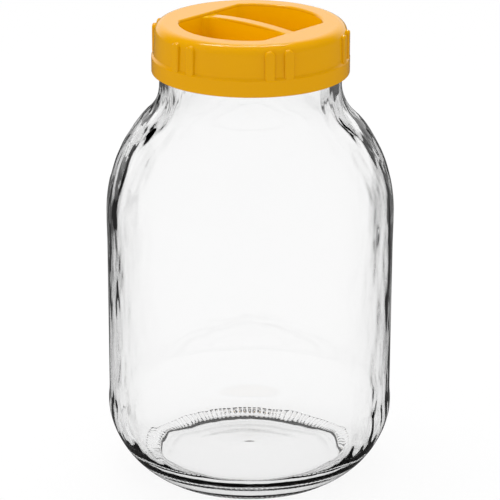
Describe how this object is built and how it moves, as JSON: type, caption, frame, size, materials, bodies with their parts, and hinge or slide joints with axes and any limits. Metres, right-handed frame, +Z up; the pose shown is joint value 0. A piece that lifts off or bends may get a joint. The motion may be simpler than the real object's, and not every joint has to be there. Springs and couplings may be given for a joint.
{
  "type": "twist-off jar",
  "caption": "Wide-mouth clear glass jar with a domed shoulder and a yellow plastic twist-off lid whose deep round grip recess is crossed by a bar.",
  "frame": {"origin": "centre of the foot ring, on the surface that the jar stands on", "axes": "+Z up along the jar's axis; the front of the jar faces -Y, +X to its right"},
  "size_m": [0.1518, 0.1518, 0.246],
  "materials": {
    "clear_glass": "clear and smooth, faintly rippled",
    "yellow_plastic": "glossy moulded plastic"
  },
  "bodies": {
    "root": {"glass_jar": "clear_glass", "lid": "yellow_plastic"}
  },
  "joints": []
}
